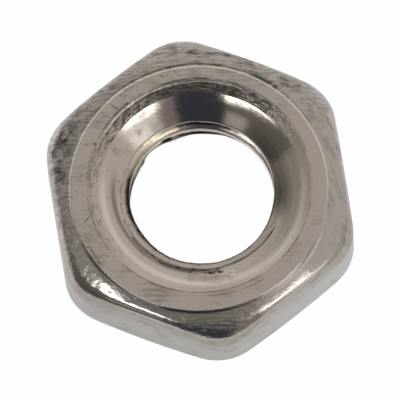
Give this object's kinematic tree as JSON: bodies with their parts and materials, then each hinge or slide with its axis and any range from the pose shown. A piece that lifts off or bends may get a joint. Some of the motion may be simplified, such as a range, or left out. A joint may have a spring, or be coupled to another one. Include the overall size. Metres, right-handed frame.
{
  "type": "jam nut",
  "caption": "Thin hexagon nut of bright steel with rounded corners, a raised washer face on each side, wide countersinks and a short threaded bore.",
  "frame": {"origin": "on the bore's axis, in the plane of the lower washer face", "axes": "+Z along the bore out of the upper washer face, +X square to one pair of flats"},
  "size_m": [0.01, 0.011, 0.0032],
  "materials": {
    "steel": "bare stainless steel: satin faces, smeared forged shoulders and a bright cut countersink"
  },
  "bodies": {
    "root": {"nut": "steel"}
  },
  "joints": []
}
